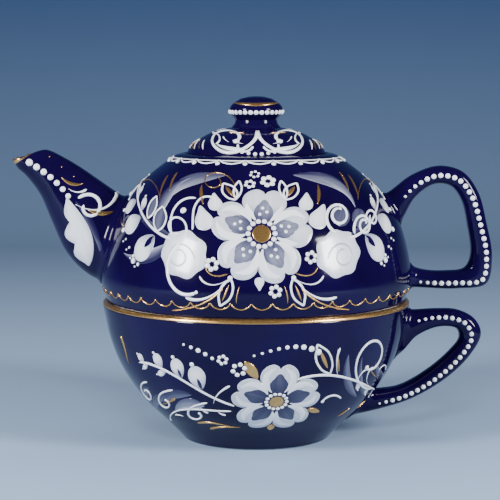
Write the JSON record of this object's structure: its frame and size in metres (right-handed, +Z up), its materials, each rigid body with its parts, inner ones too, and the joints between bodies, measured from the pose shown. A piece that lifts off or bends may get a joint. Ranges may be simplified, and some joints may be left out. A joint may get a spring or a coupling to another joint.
{
  "type": "tea-for-one teapot and cup set",
  "caption": "Porcelain teapot with a domed lid that stands in the mouth of its own handled cup, in cobalt glaze with white and gold floral painting.",
  "frame": {"origin": "on the common axis of the turned pieces, in the plane of the cup's foot ring", "axes": "+Z up along the axis of the cup, pot and lid; the spout points along -X and both handles along +X; -Y is the painted front"},
  "size_m": [0.1965, 0.1272, 0.14],
  "materials": {
    "cobalt_glaze": "glossy deep cobalt underglaze blue",
    "white_enamel": "raised white brushwork, glossy",
    "grey_blue_enamel": "thin wash of white over cobalt, glossy",
    "gilding": "burnished gold line and strokes",
    "clear_glaze": "white porcelain under clear glaze, inside",
    "bare_porcelain": "unglazed foot ring, matt"
  },
  "bodies": {
    "cup": {"cup_bowl": "cobalt_glaze", "cup_handle": "cobalt_glaze"},
    "teapot": {"pot_body": "cobalt_glaze", "pot_floor": "clear_glaze", "pot_seat": "cobalt_glaze", "pot_spout": "cobalt_glaze", "pot_handle": "cobalt_glaze"},
    "lid": {"lid_shell": "cobalt_glaze", "lid_knob": "cobalt_glaze"}
  },
  "joints": [
    {"name": "teapot_lift", "type": "slide", "parent": "cup", "child": "teapot", "axis": [0, 0, 1], "range_m": [0, 0.06]},
    {"name": "lid_lift", "type": "slide", "parent": "teapot", "child": "lid", "axis": [0, 0, 1], "range_m": [0, 0.05]}
  ]
}
